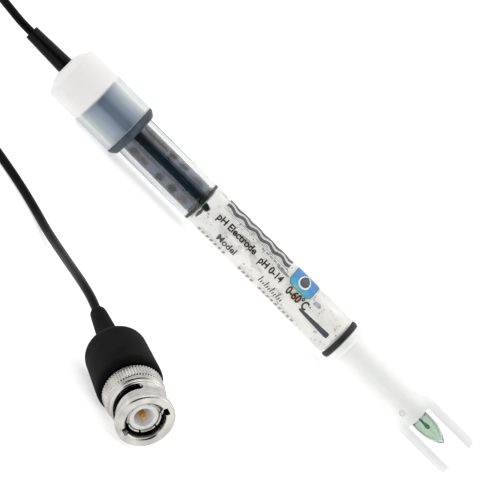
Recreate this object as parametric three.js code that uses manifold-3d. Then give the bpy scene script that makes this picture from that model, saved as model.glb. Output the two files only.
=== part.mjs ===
// A combination pH electrode for testing water: a capped clear 12 mm probe with a spear-shaped
// glass tip behind a two-pronged guard, and a thin lead that ends in a BNC plug.
//
// The probe lies along +X with its cap at -X and its tip at +X, on the plane z = 0.
// Inside the probe's group, x is counted from the cap's top end towards the tip.
// Inside the plug's group, x is 0 at the coupling nut's front face and negative behind it.
import * as THREE from 'three';
import { mergeVertices } from 'three/addons/utils/BufferGeometryUtils.js';
import Module from 'manifold-3d';

const wasm = await Module();
wasm.setup();

// ---------------------------------------------------------------- driving dimensions, mm
const GAP = 0.3; // clearance between pieces that touch or slide in each other
const SIDES = 28; // facets round a large turned piece
const FINE_SIDES = 12; // facets round a small turned piece
const WIRE_SIDES = 8; // facets round a wire

const CAP_RADIUS = 8.05;
const CAP_LENGTH = 23.7;
const CAP_BORE = 6.3;
const CAP_CEILING = 2.6; // thickness of the cap's domed end
const SHOULDER_END = 26.0; // lower face of the ring that closes the cap, which a holder carries
const SLEEVE_LENGTH = 12.6; // strain relief outside the cap
const PROBE_TIP = 147.3; // ends of the guard's prongs

const TUBE_RADIUS = 6.0; // the usual 12 mm electrode body
const TUBE_BORE = 4.8;
const TUBE_START = 12.2;
const TUBE_END = 101.6;
const FILL_RADIUS = TUBE_BORE - GAP;
const BULKHEAD_START = 49.8;
const NOSE_END = 53.6;
const SPIGOT_START = 99.9;
const COLLAR_START = 103.5;

const STEM_RADIUS = 1.9; // glass tube that carries the sensing tip
const STEM_BORE = 1.3;
const STEM_START = 41.3;
const STEM_HOLE = STEM_RADIUS + GAP;
const CONDUCTOR_RADIUS = 0.6; // insulated core of the lead, on to the glass stem
const CLAMP_RADIUS = 2.6;
const CLAMP_START = 5;
const CLAMP_END = 8;
const SPEAR_START = 132.9;
const SPEAR_LENGTH = 9.1;
const SPEAR_RADIUS = 2.6;
const SPEAR_WALL = 0.4;

const REFERENCE_OFFSET = 3.1; // reference wire, from the probe's axis
const ELEMENT_OFFSET = 3.6; // reference element, which lies against the tube's wall
const ELEMENT_RADIUS = 0.85;
const REFERENCE_TURN = THREE.MathUtils.degToRad(186); // round the axis, from +Y towards +Z
const ELEMENT_START = 88.8;
const ELEMENT_END = 99.3;

const GUARD_BORE = 2.9;
const FORK_START = 131.8; // crotch between the prongs
const FORK_GAP = 7.2;
const FORK_TURN = THREE.MathUtils.degToRad(-14); // the gap and the printed side face a little upwards
const PRONG_INNER = 4.9;
const PRONG_OUTER = 6.2;
const JUNCTION_ALONG = 127.8; // second reference junction, a small plug in the guard's wall
const JUNCTION_TURN = THREE.MathUtils.degToRad(190);

const LEAD_RADIUS = 1.15;
const LEAD_HOLE = LEAD_RADIUS + GAP;
const LEAD_SIDES = 8;
const LEAD_STEP = 6; // length of one straight piece of the lead

const NUT_FRONT = 1.0;
const NUT_REAR = -11.8;
const NUT_BORE = 4.95;
const NUT_COUNTERBORE = 6.0;
const NUT_NECK = 6.6;
const NUT_FLANGE = 7.25;
const NUT_KNURL = 7.4;
const KNURL_TEETH = 42;
const KNURL_DEPTH = 0.3;
const BAYONET_TRACK = 2.2; // width of the track that a socket's lug follows
const PLUG_RADIUS = 8.1; // rubber boot at its front
const BOOT_START = -12.1;
const BOOT_SHOULDER = -25.8; // where the boot's rear starts to round over
const BOOT_END = -30.0;
const BOOT_REAR_RADIUS = 7.6;
const TAIL_BASE = 3;
const TAIL_END = -43.8;
const HUB_RADIUS = 4.5;
const RING_INNER = 4.8;
const RING_OUTER = 5.7; // washers and flange inside the nut's rear

const PLUG_PLACE = new THREE.Vector3(-1.6, -185.7, PLUG_RADIUS);
const PLUG_HEADING = THREE.MathUtils.degToRad(-58);

const COIL_CENTRE = new THREE.Vector3(-118, -30, 0);
const COIL_RADIUS = 13.8; // middle of the wound turns
const COIL_HALF_WIDTH = 5.75;
const COIL_FLOOR = 0.8; // the tie passes under the turns
const COIL_TOP = 5.1;
const TIE_THICKNESS = 0.5;
const TIE_WIDTH = 5;

// the origin is under the middle of the probe with its strain relief, on the plane it lies on
const ORIGIN_X = (PROBE_TIP - SLEEVE_LENGTH) / 2;

// the lead from the strain relief to the coil
const LEAD_FROM_PROBE = [
  [-80.25, 0, 8.05], [-84, 0.4, 8.05], [-88, 2.2, 8.0], [-92, 4.8, 7.7], [-96.5, 7.2, 6.8],
  [-102, 8.8, 5.5], [-108.5, 9, 4.1], [-115.5, 7.2, 2.95], [-122.5, 3.4, 2.2], [-128.8, -2.2, 1.95],
  [-133.6, -9, 1.95], [-136.9, -16, 1.95], [-138, -20.5, 1.95],
];
// the lead from the coil to the plug's tail
const LEAD_TO_PLUG = [
  [-124, -50.9, 3.1], [-115, -56.4, 1.9], [-106, -61.4, 1.25], [-97, -66.3, 1.15],
  [-88, -71.2, 1.15], [-79, -76.2, 1.15], [-70.6, -81.2, 1.15], [-62.9, -86.3, 1.15],
  [-56, -91.8, 1.15], [-50.1, -97.9, 1.2], [-45.4, -104.6, 1.6], [-41.7, -111.7, 2.6],
  [-38.7, -118.9, 3.9], [-36, -126.2, 5.3], [-33.4, -132.9, 6.6], [-30.7, -138.9, 7.6],
  [-28.2, -143.2, 8.05], [-24.97, -148.3, 8.1],
];

// ---------------------------------------------------------------- shape helpers

/** Turns an outline of [along, radius] points about the X axis into a closed solid. */
function revolve(outline, sides = SIDES) {
  const points = outline.map(([along, radius]) => new THREE.Vector2(radius, along));
  const geometry = new THREE.LatheGeometry(points, sides);
  geometry.rotateZ(-Math.PI / 2);
  return facingOut(geometry);
}

function rod(radius, from, to, sides = SIDES) {
  return revolve([[from, 0], [from, radius], [to, radius], [to, 0]], sides);
}

function pipe(inner, outer, from, to, sides = SIDES) {
  return revolve(closed([[from, inner], [from, outer], [to, outer], [to, inner]]), sides);
}

function closed(outline) {
  return [...outline, outline[0]];
}

/** Merges shared corners and makes every face point out of the solid. */
function facingOut(source) {
  const bare = source.clone();
  bare.deleteAttribute('normal');
  bare.deleteAttribute('uv');
  const geometry = mergeVertices(bare, 1e-5);
  const place = geometry.attributes.position;
  const index = geometry.index.array;
  const [a, b, c] = [new THREE.Vector3(), new THREE.Vector3(), new THREE.Vector3()];
  const kept = [];
  let volume = 0;
  for (let i = 0; i < index.length; i += 3) {
    const [p, q, r] = [index[i], index[i + 1], index[i + 2]];
    if (p === q || q === r || r === p) continue;
    a.fromBufferAttribute(place, p);
    b.fromBufferAttribute(place, q);
    c.fromBufferAttribute(place, r);
    volume += a.dot(b.cross(c));
    kept.push(p, q, r);
  }
  if (volume < 0) kept.reverse();
  geometry.setIndex(kept);
  return geometry;
}

function solidOf(source) {
  const geometry = facingOut(source);
  return new wasm.Manifold(new wasm.Mesh({
    numProp: 3,
    vertProperties: new Float32Array(geometry.attributes.position.array),
    triVerts: new Uint32Array(geometry.index.array),
  }));
}

function geometryOf(solid) {
  const mesh = solid.getMesh();
  const geometry = new THREE.BufferGeometry();
  geometry.setAttribute('position', new THREE.BufferAttribute(mesh.vertProperties, 3));
  geometry.setIndex([...mesh.triVerts]);
  return geometry;
}

/** Cuts each tool out of the base. */
function cut(base, ...tools) {
  const solid = tools.reduce((left, tool) => left.subtract(solidOf(tool)), solidOf(base));
  return geometryOf(solid);
}

/** Moves a shape off the axis, turn radians round it from +Y towards +Z. */
function offAxis(geometry, distance, turn) {
  return geometry.translate(0, distance * Math.cos(turn), distance * Math.sin(turn));
}

/** A pin that points straight out from the X axis. */
function radialPin(radius, along, from, to, turn, sides = 12) {
  const pin = new THREE.CylinderGeometry(radius, radius, to - from, sides);
  pin.translate(0, (from + to) / 2, 0);
  pin.rotateX(turn);
  return pin.translate(along, 0, 0);
}

function box(x0, x1, y0, y1, z0, z1) {
  const shape = new THREE.BoxGeometry(x1 - x0, y1 - y0, z1 - z0);
  return shape.translate((x0 + x1) / 2, (y0 + y1) / 2, (z0 + z1) / 2);
}

/** A round tube that follows a smooth curve through the points. */
function leadTube(points) {
  const places = points.map((p) => new THREE.Vector3(...p));
  const route = new THREE.CatmullRomCurve3(places, false, 'centripetal');
  const section = new THREE.Shape();
  for (let i = 0; i < LEAD_SIDES; i += 1) {
    const angle = (2 * Math.PI * (i + 0.5)) / LEAD_SIDES;
    const corner = [LEAD_RADIUS * Math.cos(angle), LEAD_RADIUS * Math.sin(angle)];
    if (i === 0) section.moveTo(...corner);
    else section.lineTo(...corner);
  }
  const steps = Math.round(route.getLength() / LEAD_STEP);
  return facingOut(new THREE.ExtrudeGeometry(section, { steps, extrudePath: route, bevelEnabled: false }));
}

// ---------------------------------------------------------------- materials

function finish(color, roughness, metalness = 0, opacity = 1) {
  return new THREE.MeshStandardMaterial({
    color, roughness, metalness, opacity, transparent: opacity < 1,
  });
}

const blackRubber = () => finish(0x161718, 0.75);
const blackJacket = () => finish(0x101112, 0.5);
const frostedCap = () => finish(0xe9ebec, 0.45, 0, 0.85);
const slateEpoxy = () => finish(0x3a4653, 0.3);
const darkEpoxy = () => finish(0x1e2833, 0.25);
const whiteEpoxy = () => finish(0xe2e3e0, 0.6);
const clearPlastic = () => finish(0xf2f6f7, 0.08, 0, 0.3);
const whitePlastic = () => finish(0xeceeee, 0.4, 0, 0.85);
const creamGel = () => finish(0xe6e0d2, 0.4);
const clearGlass = () => finish(0xe8f3ee, 0.05, 0, 0.35);
const greenGlass = () => finish(0x4f9a78, 0.05, 0, 0.5);
const navyCeramic = () => finish(0x28304a, 0.6);
const greyCeramic = () => finish(0xd7d4ca, 0.8);
const nickel = () => finish(0xb9b7b2, 0.28, 1);
const steel = () => finish(0x9a9da0, 0.35, 1);
const silver = () => finish(0xb5b2ab, 0.3, 1);
const copper = () => finish(0xb5693c, 0.35, 1);
const gold = () => finish(0xc9963a, 0.25, 1);
const whitePtfe = () => finish(0xf3f1ee, 0.5);
const clearPolythene = () => finish(0xd9dad6, 0.5);

function add(group, name, geometry, material) {
  const mesh = new THREE.Mesh(geometry, material);
  mesh.name = name;
  group.add(mesh);
}

// ---------------------------------------------------------------- cap end

function strainRelief() {
  return revolve(closed([
    [-SLEEVE_LENGTH, LEAD_HOLE], [-SLEEVE_LENGTH, 1.9], [-SLEEVE_LENGTH + 0.15, 2.0], [0, 2.4],
    [CAP_CEILING, 2.4], [CAP_CEILING, LEAD_HOLE],
  ]), 20);
}

function endCap() {
  return revolve(closed([
    [0, 2.7], [0, 3.0], [0.35, 4.5], [0.95, 5.7], [1.6, 6.6], [2.0, 7.4], [2.2, 7.75], [2.6, CAP_RADIUS],
    [CAP_LENGTH, CAP_RADIUS], [CAP_LENGTH, CAP_BORE], [3.4, CAP_BORE], [CAP_CEILING, 5.5],
    [CAP_CEILING, 2.7],
  ]));
}

function shoulderRing() {
  const start = CAP_LENGTH + GAP;
  return revolve(closed([
    [start, CAP_BORE], [start, CAP_RADIUS], [start + 0.5, 7.9], [start + 1.1, 7.45],
    [SHOULDER_END, 6.8], [SHOULDER_END, CAP_BORE],
  ]));
}

/** Cast filling that seals the lead and its clamp into the cap above the body. */
function capFilling() {
  const start = CAP_CEILING + GAP;
  const end = TUBE_START - GAP;
  const clampRoom = CLAMP_RADIUS + GAP;
  return revolve(closed([
    [start, LEAD_HOLE], [start, 5.2], [3.7, TUBE_RADIUS], [end, TUBE_RADIUS], [end, LEAD_HOLE],
    [CLAMP_END + GAP, LEAD_HOLE], [CLAMP_END + GAP, clampRoom], [CLAMP_START - GAP, clampRoom],
    [CLAMP_START - GAP, LEAD_HOLE],
  ]));
}

function buildCapEnd(probe) {
  add(probe, 'strain_relief_sleeve', strainRelief(), blackRubber());
  add(probe, 'end_cap', endCap(), frostedCap());
  add(probe, 'cap_shoulder_ring', shoulderRing(), slateEpoxy());
  add(probe, 'cable_clamp', pipe(LEAD_HOLE, CLAMP_RADIUS, CLAMP_START, CLAMP_END, FINE_SIDES), steel());
  add(probe, 'cap_filling', capFilling(), whiteEpoxy());
  add(probe, 'lead_end_in_cap', rod(LEAD_RADIUS, -SLEEVE_LENGTH + GAP, 11, FINE_SIDES), blackJacket());
  add(probe, 'centre_conductor', rod(CONDUCTOR_RADIUS, 11.3, STEM_START - GAP, WIRE_SIDES), copper());
}

// ---------------------------------------------------------------- clear body and its filling

function pottingCore() {
  const end = BULKHEAD_START - GAP;
  return cut(
    rod(FILL_RADIUS, TUBE_START + 0.2, end),
    rod(CONDUCTOR_RADIUS + GAP, TUBE_START - 1, STEM_START + 1, FINE_SIDES),
    rod(STEM_HOLE, STEM_START - GAP, end + 1, FINE_SIDES),
    offAxis(rod(0.5, 30, end + 1, FINE_SIDES), REFERENCE_OFFSET, REFERENCE_TURN),
  );
}

function bulkhead() {
  const groove = 3.75;
  const plug = revolve(closed([
    [BULKHEAD_START, STEM_HOLE], [BULKHEAD_START, FILL_RADIUS], [50.3, FILL_RADIUS], [50.3, groove],
    [51.8, groove], [51.8, FILL_RADIUS], [52.5, FILL_RADIUS], [52.5, 4.1], [NOSE_END, 3.7],
    [NOSE_END, STEM_HOLE],
  ]));
  const wireHole = rod(0.5, BULKHEAD_START - 1, NOSE_END + 1, FINE_SIDES);
  return cut(plug, offAxis(wireHole, REFERENCE_OFFSET, REFERENCE_TURN));
}

/** A rubber ring whose section is a rounded square, seated round the axis. */
function sealRing(inner, outer, from, to, sides = SIDES) {
  const round = Math.min(outer - inner, to - from) * 0.28;
  return revolve(closed([
    [from, inner], [from, outer - round], [from + round, outer], [to - round, outer],
    [to, outer - round], [to, inner],
  ]), sides);
}

function gelFill() {
  const start = NOSE_END + GAP;
  const end = SPIGOT_START - GAP;
  const wire = rod(0.5, start - 1, ELEMENT_START, FINE_SIDES);
  const element = rod(ELEMENT_RADIUS + GAP, ELEMENT_START - GAP, end + 1, FINE_SIDES);
  return cut(
    rod(FILL_RADIUS, start, end),
    rod(STEM_HOLE, start - 1, end + 1, FINE_SIDES),
    offAxis(wire, REFERENCE_OFFSET, REFERENCE_TURN),
    offAxis(element, ELEMENT_OFFSET, REFERENCE_TURN),
  );
}

function referenceWire() {
  return offAxis(rod(0.2, 30 + GAP, ELEMENT_START - GAP, WIRE_SIDES), REFERENCE_OFFSET, REFERENCE_TURN);
}

function referenceElement() {
  const body = revolve([
    [ELEMENT_START, 0], [ELEMENT_START, 0.55], [ELEMENT_START + 0.6, ELEMENT_RADIUS],
    [ELEMENT_END - 0.5, ELEMENT_RADIUS], [ELEMENT_END, 0.6], [ELEMENT_END, 0],
  ], FINE_SIDES);
  return offAxis(body, ELEMENT_OFFSET, REFERENCE_TURN);
}

function buildBody(probe) {
  add(probe, 'body_tube', pipe(TUBE_BORE, TUBE_RADIUS, TUBE_START, TUBE_END), clearPlastic());
  add(probe, 'potting_core', pottingCore(), darkEpoxy());
  add(probe, 'bulkhead', bulkhead(), darkEpoxy());
  add(probe, 'bulkhead_oring', sealRing(3.9, FILL_RADIUS + 0.1, 50.5, 51.6), blackRubber());
  add(probe, 'gel_fill', gelFill(), creamGel());
  add(probe, 'reference_wire', referenceWire(), silver());
  add(probe, 'reference_element', referenceElement(), navyCeramic());
  add(probe, 'guard_oring', sealRing(4.0, TUBE_RADIUS, TUBE_END + 0.2, COLLAR_START - 0.2), blackRubber());
}

// ---------------------------------------------------------------- sensing tip and guard

function glassStem() {
  return revolve(closed([
    [STEM_START, STEM_BORE], [STEM_START, STEM_RADIUS], [129.6, STEM_RADIUS], [131, 2.25],
    [SPEAR_START - GAP, 2.3], [SPEAR_START - GAP, STEM_BORE],
  ]), FINE_SIDES);
}

/** Outline points of a spear whose radius falls from its base to a point. */
function spearOutline(radius, from, length, steps) {
  const taper = 3.1;
  const points = [];
  for (let i = 0; i <= steps; i += 1) {
    const share = i / steps;
    points.push([from + length * share, radius * (1 - share ** taper)]);
  }
  return points;
}

function spearMembrane() {
  const steps = 8;
  const outside = spearOutline(SPEAR_RADIUS, SPEAR_START, SPEAR_LENGTH, steps);
  const inside = spearOutline(SPEAR_RADIUS - SPEAR_WALL, SPEAR_START, SPEAR_LENGTH - 3 * SPEAR_WALL, steps);
  return revolve(closed([...outside, ...inside.reverse()]), 20);
}

function silverElement() {
  const drop = 134;
  return revolve([
    [STEM_START + 0.3, 0], [STEM_START + 0.3, 0.25], [drop, 0.25], [drop + 0.5, 0.45], [drop + 1.4, 0.65],
    [drop + 2.1, 0.5], [drop + 2.5, 0.25], [drop + 2.5, 0],
  ], 10);
}

function guard() {
  const turned = revolve(closed([
    [SPIGOT_START, GUARD_BORE], [SPIGOT_START, FILL_RADIUS], [101.1, FILL_RADIUS], [101.1, 3.7],
    [COLLAR_START, 3.7], [COLLAR_START, TUBE_RADIUS], [105.0, TUBE_RADIUS], [105.8, 5.05],
    [126, 5.05], [130.5, 6.1], [FORK_START, PRONG_OUTER], [144.7, 6.25], [146.7, 6.1],
    [PROBE_TIP, 5.6], [144.7, PRONG_INNER], [FORK_START, PRONG_INNER], [FORK_START, 2.6],
    [129.2, 2.6], [129.2, GUARD_BORE],
  ]));
  const reach = PRONG_OUTER + 2;
  const gap = box(FORK_START, PROBE_TIP + 1, -reach, reach, -FORK_GAP / 2, FORK_GAP / 2);
  const junctionHole = radialPin(1.0, JUNCTION_ALONG, 1, 8, JUNCTION_TURN);
  return cut(turned, gap.rotateX(FORK_TURN), junctionHole);
}

function buildTip(probe) {
  add(probe, 'glass_stem', glassStem(), clearGlass());
  add(probe, 'spear_membrane', spearMembrane(), greenGlass());
  add(probe, 'silver_element', silverElement(), silver());
  add(probe, 'stem_seal', pipe(STEM_HOLE, 2.7, 127.2, 129, FINE_SIDES), blackRubber());
  add(probe, 'guard', guard(), whitePlastic());
  const junction = radialPin(0.7, JUNCTION_ALONG, 3.2, 5.2, JUNCTION_TURN);
  add(probe, 'reference_junction', junction, greyCeramic());
}

// ---------------------------------------------------------------- BNC plug

/** A disc with straight teeth round it, from one place on the axis to another. */
function toothedDisc(radius, depth, teeth, from, to) {
  const outline = new THREE.Shape();
  for (let i = 0; i < 2 * teeth; i += 1) {
    const angle = (Math.PI * i) / teeth;
    const reach = i % 2 === 0 ? radius : radius - depth;
    const corner = [reach * Math.cos(angle), reach * Math.sin(angle)];
    if (i === 0) outline.moveTo(...corner);
    else outline.lineTo(...corner);
  }
  const disc = new THREE.ExtrudeGeometry(outline, { depth: to - from, bevelEnabled: false });
  return disc.rotateY(Math.PI / 2).translate(from, 0, 0);
}

/** The track that one lug of a socket follows: straight in, then round and back to its seat. */
function bayonetTrack(entry) {
  const halfTrack = BAYONET_TRACK / 2;
  const steps = 8;
  const sweep = THREE.MathUtils.degToRad(108);
  const tools = [box(-3, NUT_FRONT + 1, NUT_BORE - 1, 5.9, -halfTrack, halfTrack).rotateX(entry)];
  for (let i = 0; i <= steps; i += 1) {
    const share = i / steps;
    const depth = -2.2 - 2.3 * Math.sin(share * Math.PI * 0.62);
    tools.push(radialPin(halfTrack, depth, NUT_BORE - 1, NUT_FLANGE + 1, entry - sweep * share));
  }
  return tools;
}

function couplingNut() {
  const knurlEnd = -8.2;
  const barrel = revolve([
    [NUT_FRONT, 0], [NUT_FRONT, 6.9], [NUT_FRONT - 0.35, NUT_FLANGE],
    [NUT_FRONT - 1.7, NUT_FLANGE], [NUT_FRONT - 2.2, NUT_NECK], [-5.6, NUT_NECK], [-5.9, 6.95],
    [-6.3, 6.95], [-6.5, 6.65], [-6.8, 6.65], [-7.0, 7.1], [-7.5, 7.1], [-7.7, 6.8],
    [knurlEnd, 6.8], [knurlEnd, 0],
  ]);
  const knurl = toothedDisc(NUT_KNURL, KNURL_DEPTH, KNURL_TEETH, NUT_REAR, knurlEnd + 0.1);
  const bore = revolve([
    [NUT_FRONT + 1, 0], [NUT_FRONT + 1, 5.35], [NUT_FRONT - 0.3, NUT_BORE], [-7.4, NUT_BORE],
    [-8.2, NUT_COUNTERBORE], [NUT_REAR - 1, NUT_COUNTERBORE], [NUT_REAR - 1, 0],
  ]);
  const entry = THREE.MathUtils.degToRad(-113);
  const solid = solidOf(barrel).add(solidOf(knurl)).subtract(solidOf(bore));
  const tracks = [...bayonetTrack(entry), ...bayonetTrack(entry + Math.PI)];
  return cut(geometryOf(solid), ...tracks);
}

/** A thin washer that waves up and down round the axis. */
function waveSpring(from, to) {
  const waves = 3;
  const sheet = 0.2;
  const turned = pipe(RING_INNER + 0.1, RING_OUTER - 0.1, -sheet / 2, sheet / 2, SIDES);
  const place = turned.attributes.position;
  const rise = (to - from - sheet) / 2;
  for (let i = 0; i < place.count; i += 1) {
    const angle = Math.atan2(place.getZ(i), place.getY(i));
    place.setX(i, place.getX(i) + (from + to) / 2 + rise * Math.cos(waves * angle));
  }
  return turned;
}

function contactSleeve() {
  const tube = revolve(closed([
    [-0.5, 3.85], [-0.5, 4.05], [-0.8, 4.25], [-8, 4.25], [-8, 3.75], [-0.8, 3.75],
  ]));
  const slots = [0, 1, 2].map((i) => box(-5.5, 1, -6, 6, -0.25, 0.25).rotateX((i * Math.PI) / 3));
  return cut(tube, ...slots);
}

function plugBody() {
  return revolve(closed([
    [-8.3, 3.75], [-8.3, HUB_RADIUS], [-8.5, RING_OUTER], [-9.1, RING_OUTER], [-9.1, HUB_RADIUS],
    [-16.2, HUB_RADIUS], [-16.6, 2.2], [-21.5, 2.2], [-21.5, 1.2], [-12, 1.2], [-12, 3.75],
  ]));
}

function plugInsulator() {
  return revolve(closed([
    [-0.8, 2.5], [-0.8, 3.2], [-1.1, 3.45], [-11.7, 3.45], [-11.7, 0.95], [-5.2, 0.95], [-4.9, 1.4],
  ]), 24);
}

function centrePin() {
  return revolve([
    [-0.6, 0], [-0.65, 0.25], [-0.95, 0.5], [-1.5, 0.65], [-11.7, 0.65], [-11.7, 0],
  ], 12);
}

function plugBoot() {
  const outside = [
    [BOOT_START, 7.35], [-12.5, 7.75], [-13.3, 8.0], [-14.4, PLUG_RADIUS],
    [BOOT_SHOULDER, BOOT_REAR_RADIUS],
  ];
  const shoulderSteps = 6;
  for (let i = 1; i <= shoulderSteps; i += 1) {
    const angle = (Math.PI / 2) * (i / shoulderSteps);
    const along = BOOT_SHOULDER + (BOOT_END - BOOT_SHOULDER) * Math.sin(angle);
    outside.push([along, TAIL_BASE + (BOOT_REAR_RADIUS - TAIL_BASE) * Math.cos(angle)]);
  }
  const inside = [
    [BOOT_END, LEAD_HOLE], [-22.6, LEAD_HOLE], [-22.6, 3.6], [-16.9, 3.6], [-16.5, 4.9], [BOOT_START, 4.9],
  ];
  return revolve(closed([...outside, ...inside]));
}

function plugTail() {
  const start = BOOT_END - GAP;
  return revolve(closed([
    [start, LEAD_HOLE], [start, 2.85], [TAIL_END + 2, 2.1], [TAIL_END + 0.9, 2.0], [TAIL_END + 0.3, 1.8],
    [TAIL_END, LEAD_HOLE],
  ]), 16);
}

function buildPlug(plug) {
  add(plug, 'coupling_nut', couplingNut(), nickel());
  add(plug, 'nut_retaining_ring', pipe(RING_INNER, RING_OUTER, -11.3, -10.8, 24), steel());
  add(plug, 'thrust_washer', pipe(RING_INNER, RING_OUTER, -10.6, -10.3, 24), steel());
  add(plug, 'wave_spring', waveSpring(-10.1, -9.3), steel());
  add(plug, 'plug_body', plugBody(), nickel());
  add(plug, 'contact_sleeve', contactSleeve(), nickel());
  add(plug, 'plug_insulator', plugInsulator(), whitePtfe());
  add(plug, 'centre_pin', centrePin(), gold());
  add(plug, 'crimp_ferrule', pipe(2.5, 3.3, -22.2, -17, FINE_SIDES), nickel());
  add(plug, 'plug_boot', plugBoot(), blackRubber());
  add(plug, 'plug_tail', plugTail(), blackRubber());
  add(plug, 'plug_core_wire', rod(0.75, -22.2, -12.3, WIRE_SIDES), clearPolythene());
  add(plug, 'lead_end_in_plug', rod(LEAD_RADIUS, TAIL_END + GAP, -22.5, FINE_SIDES), blackJacket());
}

// ---------------------------------------------------------------- lead

function coilRing() {
  const inner = COIL_RADIUS - COIL_HALF_WIDTH;
  const outer = COIL_RADIUS + COIL_HALF_WIDTH;
  const corner = 1.0;
  const outline = [
    [inner + corner, COIL_FLOOR], [outer - corner, COIL_FLOOR], [outer, COIL_FLOOR + corner],
    [outer - 2 * corner, COIL_TOP], [inner + 2 * corner, COIL_TOP], [inner, COIL_FLOOR + corner],
  ];
  const points = closed(outline).map(([radius, height]) => new THREE.Vector2(radius, height));
  const ring = new THREE.LatheGeometry(points, SIDES).rotateX(Math.PI / 2);
  return facingOut(ring).translate(COIL_CENTRE.x, COIL_CENTRE.y, COIL_CENTRE.z);
}

/** A flat band closed round the coil's turns, on the side away from the probe. */
function leadTie() {
  const nearX = COIL_RADIUS - COIL_HALF_WIDTH - GAP;
  const farX = COIL_RADIUS + COIL_HALF_WIDTH + GAP;
  const top = COIL_TOP + GAP;
  const outside = box(
    nearX - TIE_THICKNESS, farX + TIE_THICKNESS, -TIE_WIDTH / 2, TIE_WIDTH / 2, 0, top + TIE_THICKNESS,
  );
  const inside = box(nearX, farX, -TIE_WIDTH, TIE_WIDTH, TIE_THICKNESS, top);
  const band = cut(outside, inside).rotateZ(-Math.PI / 2);
  return band.translate(COIL_CENTRE.x, COIL_CENTRE.y, 0);
}

function buildLead(group) {
  add(group, 'lead_run_probe', leadTube(LEAD_FROM_PROBE), blackJacket());
  add(group, 'lead_coil', coilRing(), blackJacket());
  add(group, 'lead_tie', leadTie(), blackRubber());
  add(group, 'lead_run_plug', leadTube(LEAD_TO_PLUG), blackJacket());
}

// ---------------------------------------------------------------- assembly

const group = new THREE.Group();

const probe = new THREE.Group();
probe.position.set(-ORIGIN_X, 0, CAP_RADIUS);
buildCapEnd(probe);
buildBody(probe);
buildTip(probe);
group.add(probe);

const plug = new THREE.Group();
plug.position.copy(PLUG_PLACE);
plug.rotation.z = PLUG_HEADING;
buildPlug(plug);
group.add(plug);

buildLead(group);

export default group;
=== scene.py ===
import math

import bmesh
import bpy
from mathutils import Matrix, Vector


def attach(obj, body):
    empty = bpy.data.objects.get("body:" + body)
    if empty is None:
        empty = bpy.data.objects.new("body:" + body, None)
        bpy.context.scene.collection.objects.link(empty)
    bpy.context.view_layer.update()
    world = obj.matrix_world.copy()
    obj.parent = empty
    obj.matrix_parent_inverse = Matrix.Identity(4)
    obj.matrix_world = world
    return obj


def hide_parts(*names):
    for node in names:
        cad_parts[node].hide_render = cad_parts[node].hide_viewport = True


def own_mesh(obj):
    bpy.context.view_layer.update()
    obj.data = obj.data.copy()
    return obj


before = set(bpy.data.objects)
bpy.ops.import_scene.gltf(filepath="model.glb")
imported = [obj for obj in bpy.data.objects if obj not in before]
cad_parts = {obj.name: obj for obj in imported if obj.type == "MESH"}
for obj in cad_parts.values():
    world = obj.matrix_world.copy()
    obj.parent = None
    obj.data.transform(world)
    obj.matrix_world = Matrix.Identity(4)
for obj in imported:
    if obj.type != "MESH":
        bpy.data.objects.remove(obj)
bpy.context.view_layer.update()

# ---- driving dimensions, mm
MM = 0.001
PROBE_ORIGIN_X = -67.35
CAP_RADIUS = 8.05
CAP_LENGTH = 23.7
CAP_BORE = 6.3
CAP_CEILING = 2.6
SLEEVE_LENGTH = 12.6
TUBE_RADIUS = 6.0
TUBE_BORE = 4.8
TUBE_START = 12.2
TUBE_END = 101.6
CORE_RADIUS = 4.5
CONTACT_RADIUS = 4.85  # a filling that wets the tube's bore reaches just into the wall
CORE_END = 49.5
GEL_START = 51.6
GEL_END = 101.2
STEM_RADIUS = 1.9
STEM_BORE = 1.3
STEM_START = 41.3
COLLAR_START = 103.4
FORK_START = 131.8
FORK_GAP = 7.2
FORK_TURN = math.radians(-14)
PROBE_TIP = 147.3
SPEAR_START = 132.9
SPEAR_LENGTH = 9.1
SPEAR_RADIUS = 2.6
SPEAR_WALL = 0.4
REFERENCE_TURN = math.radians(186)  # round the probe's axis, from +Y towards +Z
REFERENCE_OFFSET = 3.1
ELEMENT_OFFSET = 4.15  # past the CAD solid's, so the element runs just into the tube's wall
JUNCTION_ALONG = 127.8
JUNCTION_TURN = math.radians(190)
LEAD_RADIUS = 1.15
LEAD_HOLE = 1.25

PLUG_PLACE = (-1.6, -185.7, 8.1)
PLUG_HEADING = math.radians(-58)
NUT_FRONT = 1.0
NUT_REAR = -11.8
NUT_BORE = 4.95
NUT_COUNTERBORE = 6.0
RING_INNER = 4.8
RING_OUTER = 5.7
NUT_FLANGE = 7.25
NUT_NECK = 6.6
KNURL_RADIUS = 7.4
KNURL_DEPTH = 0.3
KNURL_TEETH = 60
TRACK_HALF_WIDTH = 1.1
TRACK_SWEEP = math.radians(108)
TRACK_ENTRY = math.radians(-113)
BOOT_START = -12.1
BOOT_SHOULDER = -25.8
BOOT_END = -30.0
BOOT_REAR_RADIUS = 7.6
TAIL_BASE = 3.0
TAIL_END = -43.8

SIDES = 128  # facets round a large turned piece
FINE_SIDES = 48  # facets round a small one
SHARP_ANGLE = math.radians(32)

PROBE = Matrix.Translation(Vector((PROBE_ORIGIN_X, 0, CAP_RADIUS)) * MM)
PLUG = Matrix.Translation(Vector(PLUG_PLACE) * MM) @ Matrix.Rotation(PLUG_HEADING, 4, "Z")

# ---- camera
CAMERA_ELEVATION = math.radians(14)
CAMERA_HEADING = math.radians(4.5)
CAMERA_ROLL = math.radians(46)
CAMERA_DISTANCE = 1.45
CAMERA_LENS = 394.6
AIM = Vector((0.00165, 0, 0.00805))


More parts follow.
